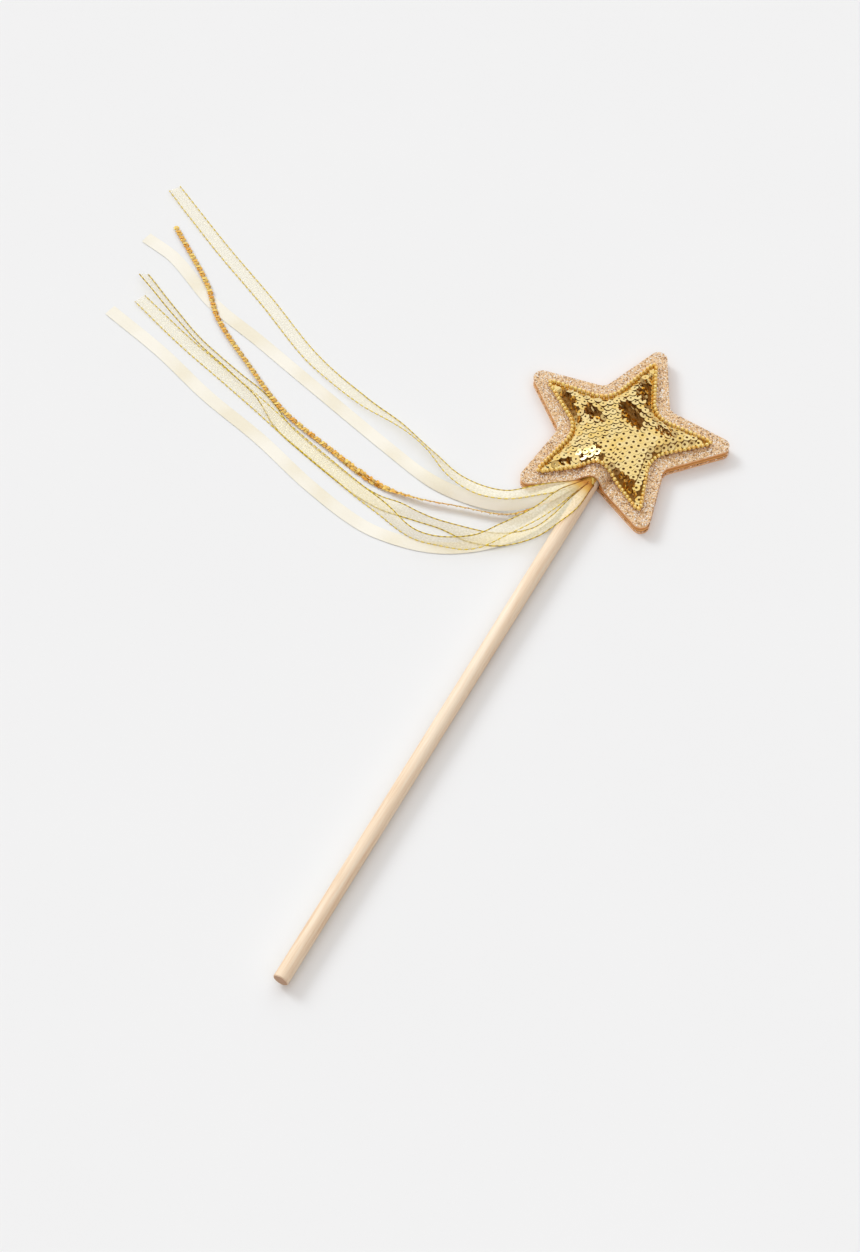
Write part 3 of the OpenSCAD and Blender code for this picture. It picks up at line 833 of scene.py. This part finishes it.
def weave_place(tree):
    return add(tree, "ShaderNodeUVMap", uv_map="weave").outputs["UV"]


def woven(tree, place, threads):
    """The cover and the height of a weave with so many threads per metre."""
    node = add(tree, "ShaderNodeGroup", node_tree=weave)
    tree.links.new(place, node.inputs["Place"])
    node.inputs["Threads per metre"].default_value = threads
    return node.outputs["Cover"], node.outputs["Height"]


def foil_look(tree, shader, tone, pale, deep):
    """Foil colours and gloss on a shader, by a tone between 0 and 1."""
    node = add(tree, "ShaderNodeGroup", node_tree=foil_tone)
    tree.links.new(tone, node.inputs["Tone"])
    tree.links.new(place_of(tree), node.inputs["Place"])
    node.inputs["Pale"].default_value = pale
    node.inputs["Deep"].default_value = deep
    tree.links.new(node.outputs["Color"], shader.inputs["Base Color"])
    tree.links.new(node.outputs["Roughness"], shader.inputs["Roughness"])


def bump(tree, shader, height, strength, distance):
    node = add(tree, "ShaderNodeBump", {"Height": height, "Strength": strength, "Distance": distance})
    tree.links.new(node.outputs["Normal"], shader.inputs["Normal"])


def organza_finish():
    """Sheer cloth, denser where it is gathered, and deep orange near its gathered end as painted shade of the
    star's mouth.
    """
    material, tree, shader = finish_of("champagne_organza", Roughness=0.45, Sheen_Weight=0.2)
    place = weave_place(tree)
    cover, height = woven(tree, place, ORGANZA_THREADS)
    run = add(tree, "ShaderNodeSeparateXYZ", {0: place}).outputs["X"]
    dense = span(tree, run, 0.002, 0.015, 0.9, 0.0)
    thin = span(tree, run, 0.06, 0.16, 0.2, 0.0)
    sheer = math_node(tree, "ADD", span(tree, cover, 0.1, 0.9, 0.12, 0.4), thin)
    tree.links.new(math_node(tree, "MAXIMUM", sheer, dense), shader.inputs["Alpha"])
    tone = ramp(tree, cover, [(0.15, paint(250, 234, 172)), (0.85, paint(250, 242, 214))])
    # Painted shade: deep orange-brown at the gathered end, where the cloth goes into the shaded mouth of the
    # star, fading to the cloth's own tone
    deep = ramp(tree, span(tree, run, 0.0, 0.01), [
        (0.1, paint(192, 124, 20)), (0.4, paint(228, 176, 62)), (0.9, paint(248, 226, 146)),
    ])
    tree.links.new(mix_colour(tree, span(tree, run, 0.004, 0.012), deep, tone), shader.inputs["Base Color"])
    bump(tree, shader, height, 0.3, 0.00008)
    return material


def edge_thread_finish(name, stitched):
    """Gold thread, browner at the mouth as painted shade there. Stitched, one edge shows as dashes, and far
    out both edges do.
    """
    material, tree, shader = finish_of(name, Roughness=0.4, Alpha=0.85)
    parts = add(tree, "ShaderNodeSeparateXYZ", {0: weave_place(tree)})
    run, edge = parts.outputs["X"], parts.outputs["Y"]
    dash = math_node(tree, "SINE", math_node(tree, "MULTIPLY", run, math.tau / STITCH_LENGTH))
    if stitched:
        first_edge = span(tree, edge, 1.0, 2.0, 1.0, 0.0)
        evenness = math_node(tree, "MULTIPLY", first_edge, span(tree, run, 0.09, 0.17, 1.0, 0.0))
        level = math_node(tree, "ADD", dash, math_node(tree, "MULTIPLY", evenness, 1.4))
        tree.links.new(span(tree, level, -0.15, 0.15, 0.2, 1.0), shader.inputs["Alpha"])
    tone = ramp(tree, span(tree, dash, -1.0, 1.0), [
        (0.2, paint(164, 134, 4)), (0.5, paint(216, 186, 16)), (0.9, paint(232, 204, 40)),
    ])
    # Painted shade: the thread turns brown where it goes into the shaded mouth of the star
    loose = span(tree, run, 0.004, 0.018)
    tree.links.new(mix_colour(tree, loose, paint(150, 92, 16), tone), shader.inputs["Base Color"])
    bump(tree, shader, dash, 0.4, 0.0001)
    return material


def satin_finish():
    """Pale satin with painted sheen and shade in its colour, changing slowly along the ribbon where it
    twists.
    """
    material, tree, shader = finish_of("cream_satin", Roughness=0.4, Sheen_Weight=0.05)
    place = weave_place(tree)
    cover, height = woven(tree, place, SATIN_THREADS)
    # Painted sheen and shade: a slow noise along the ribbon lightens and darkens the cream where its twists
    # would catch or lose the light
    painted_sheen = add(tree, "ShaderNodeTexNoise", {"Vector": place, "Scale": 34.0, "Detail": 1.0}).outputs["Fac"]
    grain = math_node(tree, "MULTIPLY", cover, 0.3)
    share = math_node(tree, "ADD", grain, span(tree, painted_sheen, 0.4, 0.6, 0.0, 0.7))
    tone = ramp(tree, share, [
        (0.05, paint(234, 226, 202)), (0.5, paint(240, 235, 219)), (0.9, paint(244, 240, 227)),
    ])
    tree.links.new(tone, shader.inputs["Base Color"])
    bump(tree, shader, height, 0.15, 0.00005)
    return material


def foil_finish(name, pale, deep, metallic):
    """Metallised foil whose plates each have a tone of their own."""
    material, tree, shader = finish_of(name, Metallic=metallic)
    tone = add(tree, "ShaderNodeAttribute", attribute_name="tone").outputs["Fac"]
    foil_look(tree, shader, tone, pale, deep)
    return material


def bead_finish():
    """Lacquered gold beads, with patches of paler and deeper gold along the row."""
    material, tree, shader = finish_of(
        "gold_bead", Metallic=0.1, Coat_Weight=1.0, Coat_Roughness=0.1, Coat_IOR=2.6,
    )
    cells = add(tree, "ShaderNodeTexVoronoi", {"Vector": place_of(tree), "Scale": 480.0})
    shade = add(tree, "ShaderNodeSeparateColor", {0: cells.outputs["Color"]}).outputs[0]
    foil_look(tree, shader, shade, paint(255, 230, 124), paint(255, 188, 48))
    return material


def glitter_finish():
    """Flakes of many tones, the near-white ones a painted sparkle, each lying at its own small angle, on a
    sheet whose cut edge is pale caramel, lightened as a painted highlight along the rim.
    """
    material, tree, shader = finish_of("champagne_glitter", Roughness=0.34)
    place = place_of(tree)
    cells = add(tree, "ShaderNodeTexVoronoi", {"Vector": place, "Scale": 2100.0}).outputs["Color"]
    flake = add(tree, "ShaderNodeSeparateColor", {0: cells})
    # Flake tones from dark tan to pale, and the near-white flakes are painted sparkle highlights
    tone = ramp(tree, flake.outputs[0], [
        (0.0, paint(152, 110, 70)), (0.14, paint(212, 170, 118)), (0.36, paint(236, 200, 152)),
        (0.6, paint(242, 214, 180)), (0.78, paint(255, 244, 226)), (0.86, paint(208, 166, 132)),
        (0.93, paint(255, 255, 252)),
    ], stepped=True)
    flat = add(tree, "ShaderNodeNewGeometry").outputs["Normal"]
    upright = math_node(tree, "ABSOLUTE", add(tree, "ShaderNodeSeparateXYZ", {0: flat}).outputs["Z"])
    top = span(tree, upright, 0.25, 0.5)
    grain = add(tree, "ShaderNodeTexNoise", {"Vector": place, "Scale": 700.0, "Detail": 2.0}).outputs["Fac"]
    # The cut edge's own caramel, made paler as a painted highlight along the top of the rim
    cut = ramp(tree, grain, [(0.35, paint(238, 176, 112)), (0.65, paint(252, 208, 158))])
    tree.links.new(mix_colour(tree, top, cut, tone), shader.inputs["Base Color"])
    tree.links.new(math_node(tree, "MULTIPLY", top, 0.15), shader.inputs["Metallic"])
    tilt = add(tree, "ShaderNodeVectorMath", {0: cells, 1: (0.5, 0.5, 0.5)}, operation="SUBTRACT")
    lean = add(tree, "ShaderNodeVectorMath", {
        0: tilt.outputs[0], "Scale": math_node(tree, "MULTIPLY", top, 0.8),
    }, operation="SCALE")
    leaning = add(tree, "ShaderNodeVectorMath", {0: flat, 1: lean.outputs[0]}, operation="ADD")
    normal = add(tree, "ShaderNodeVectorMath", {0: leaning.outputs[0]}, operation="NORMALIZE")
    tree.links.new(normal.outputs[0], shader.inputs["Normal"])
    return material


def foam_finish():
    """Two foam sheets glued together: orange over paler orange, with a dark line where they meet that is
    painted shade of the groove between them, and painted shade at the top under the front sheet.
    """
    material, tree, shader = finish_of("orange_foam", Roughness=0.7)
    place = place_of(tree)
    pores = add(tree, "ShaderNodeTexVoronoi", {"Vector": place, "Scale": 1800.0}).outputs["Distance"]
    stain = add(tree, "ShaderNodeTexNoise", {"Vector": place, "Scale": 120.0, "Detail": 3.0}).outputs["Fac"]
    level = add(tree, "ShaderNodeSeparateXYZ", {0: place}).outputs["Z"]
    height = math_node(tree, "ADD", level, span(tree, stain, 0.3, 0.7, -0.00015, 0.00015))
    # Painted shade in the bands: the dark line is shade in the groove between the sheets, the dark top is
    # shade under the front sheet's edge, and the bottom is a little darker too
    tone = ramp(tree, span(tree, height, -0.0036, -0.0001), [
        (0.0, paint(206, 132, 62)), (0.12, paint(244, 186, 116)), (0.36, paint(242, 180, 104)),
        (0.42, paint(150, 86, 30)), (0.5, paint(226, 148, 66)), (0.9, paint(238, 164, 80)),
        (1.0, paint(180, 108, 40)),
    ])
    tree.links.new(tone, shader.inputs["Base Color"])
    bump(tree, shader, pores, 0.5, 0.0002)
    return material


def net_finish():
    """Gold net under the sequins, darkened to brown as painted shade for the holes and gaps between the
    sequins, with a paler hem under the beads.
    """
    material, tree, shader = finish_of("gold_net", Roughness=0.5, Metallic=0.3)
    cover, height = woven(tree, place_of(tree), NET_THREADS)
    # Painted shade: the net's gold is darkened so that the holes and gaps between the sequins read as
    # shadowed
    tone = ramp(tree, cover, [(0.1, paint(92, 60, 14)), (0.9, paint(160, 112, 40))])
    outwards = add(tree, "ShaderNodeSeparateXYZ", {0: weave_place(tree)}).outputs["Y"]
    hem = span(tree, outwards, 0.9, 0.95)
    tree.links.new(mix_colour(tree, hem, tone, paint(206, 146, 50)), shader.inputs["Base Color"])
    bump(tree, shader, height, 0.4, 0.0001)
    return material


def wood_finish():
    """Pale wood with a fine long grain, darker on its sawn end."""
    material, tree, shader = finish_of("pale_wood", Roughness=0.55)
    long_way = add(tree, "ShaderNodeMapping", {
        "Vector": place_of(tree), "Scale": (1.0, 0.035, 1.0),
    }).outputs["Vector"]
    grain = add(tree, "ShaderNodeTexNoise", {
        "Vector": long_way, "Scale": 1500.0, "Detail": 4.0, "Roughness": 0.6,
    }).outputs["Fac"]
    bands = add(tree, "ShaderNodeTexNoise", {
        "Vector": long_way, "Scale": 260.0, "Detail": 2.0,
    }).outputs["Fac"]
    fine = math_node(tree, "MULTIPLY", grain, 0.45)
    share = math_node(tree, "ADD", fine, math_node(tree, "MULTIPLY", bands, 0.55))
    tone = ramp(tree, share, [
        (0.34, paint(222, 188, 152)), (0.5, paint(238, 215, 186)), (0.66, paint(245, 230, 207)),
    ])
    normal = add(tree, "ShaderNodeNewGeometry").outputs["Normal"]
    sawn = span(tree, add(tree, "ShaderNodeSeparateXYZ", {0: normal}).outputs["Y"], -0.6, -0.9, 0.0, 0.75)
    tree.links.new(mix_colour(tree, sawn, tone, paint(176, 128, 92)), shader.inputs["Base Color"])
    tree.links.new(span(tree, grain, 0.3, 0.7, 0.48, 0.66), shader.inputs["Roughness"])
    bump(tree, shader, grain, 0.25, 0.00012)
    return material


def cotton_finish():
    material, tree, shader = finish_of("cotton_thread", Roughness=0.8)
    twist = add(tree, "ShaderNodeTexNoise", {"Vector": place_of(tree), "Scale": 2500.0}).outputs["Fac"]
    tone = ramp(tree, twist, [(0.35, paint(196, 160, 92)), (0.65, paint(226, 196, 130))])
    tree.links.new(tone, shader.inputs["Base Color"])
    bump(tree, shader, twist, 0.4, 0.0001)
    return material


def dress(node, material):
    """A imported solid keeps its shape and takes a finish."""
    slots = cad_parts[node].data.materials
    slots.clear()
    slots.append(material)


photo_camera()

organza = organza_finish()
gold_edge = edge_thread_finish("gold_edge_thread", True)
even_edge = edge_thread_finish("even_edge_thread", False)
satin = satin_finish()
cotton = cotton_finish()
strand_foil = foil_finish("strand_foil", paint(255, 232, 134), paint(238, 156, 34), 0.65)
ribbon("upper_organza", UPPER_ORGANZA_ROUTE, "organza", "organza_ribbon_upper", organza, gold_edge, 0.25)
ribbon("upper_satin", UPPER_SATIN_ROUTE, "satin", "satin_ribbon_upper", satin)
sequin_strand(strand_foil, cotton)
ribbon("middle_organza", MIDDLE_ORGANZA_ROUTE, "organza", "organza_ribbon_middle", organza, even_edge, 0.2)
ribbon("lower_organza", LOWER_ORGANZA_ROUTE, "organza", "organza_ribbon_lower", organza, gold_edge, 0.2)
ribbon("lower_satin", LOWER_SATIN_ROUTE, "satin", "satin_ribbon_lower", satin)
gathered_ends(organza, strand_foil)

padded_patch(net_finish())
sequin_field(foil_finish("sequin_foil", paint(255, 232, 170), paint(250, 212, 120), 1.0))
glitter = glitter_finish()
dress("star_front_sheet", glitter)
dress("star_back_sheet", glitter)
dress("star_core", foam_finish())
dress("stick", wood_finish())
dress("seed_beads", bead_finish())
dress("bead_thread", cotton)

pale_table()
studio_light()
